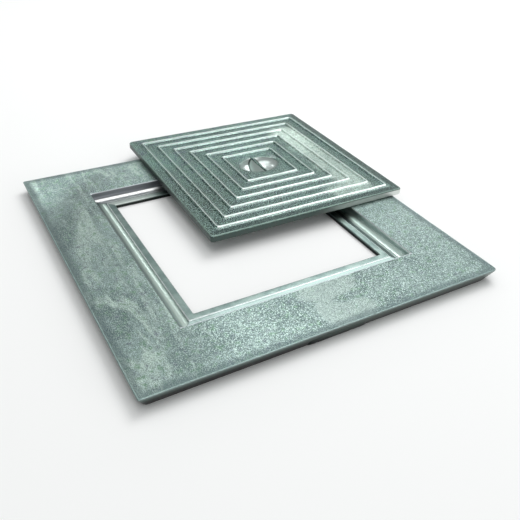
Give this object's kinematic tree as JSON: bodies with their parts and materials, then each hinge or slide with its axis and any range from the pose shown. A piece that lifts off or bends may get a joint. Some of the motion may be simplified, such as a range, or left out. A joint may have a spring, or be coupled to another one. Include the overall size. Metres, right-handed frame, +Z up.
{
  "type": "manhole cover",
  "caption": "Square cast aluminium manhole cover: a lid with concentric square ridges and a barred finger recess lies drawn back over its open flanged frame.",
  "frame": {"origin": "middle of the frame's square opening, on the plane that the frame's ring and rim stand on", "axes": "+X along the frame's front side to the right, +Y from the front side to the back, +Z up; the lid lies towards +X and +Y"},
  "size_m": [0.4655, 0.4927, 0.0267],
  "materials": {
    "frame_metal": "sand cast",
    "lid_metal": "sand cast"
  },
  "bodies": {
    "frame": {"frame": "frame_metal"},
    "lid": {"lid": "lid_metal"}
  },
  "joints": [
    {"name": "lid_lift", "type": "slide", "parent": "frame", "child": "lid", "axis": [0, 0, 1], "range_m": [0, 0.15]}
  ]
}
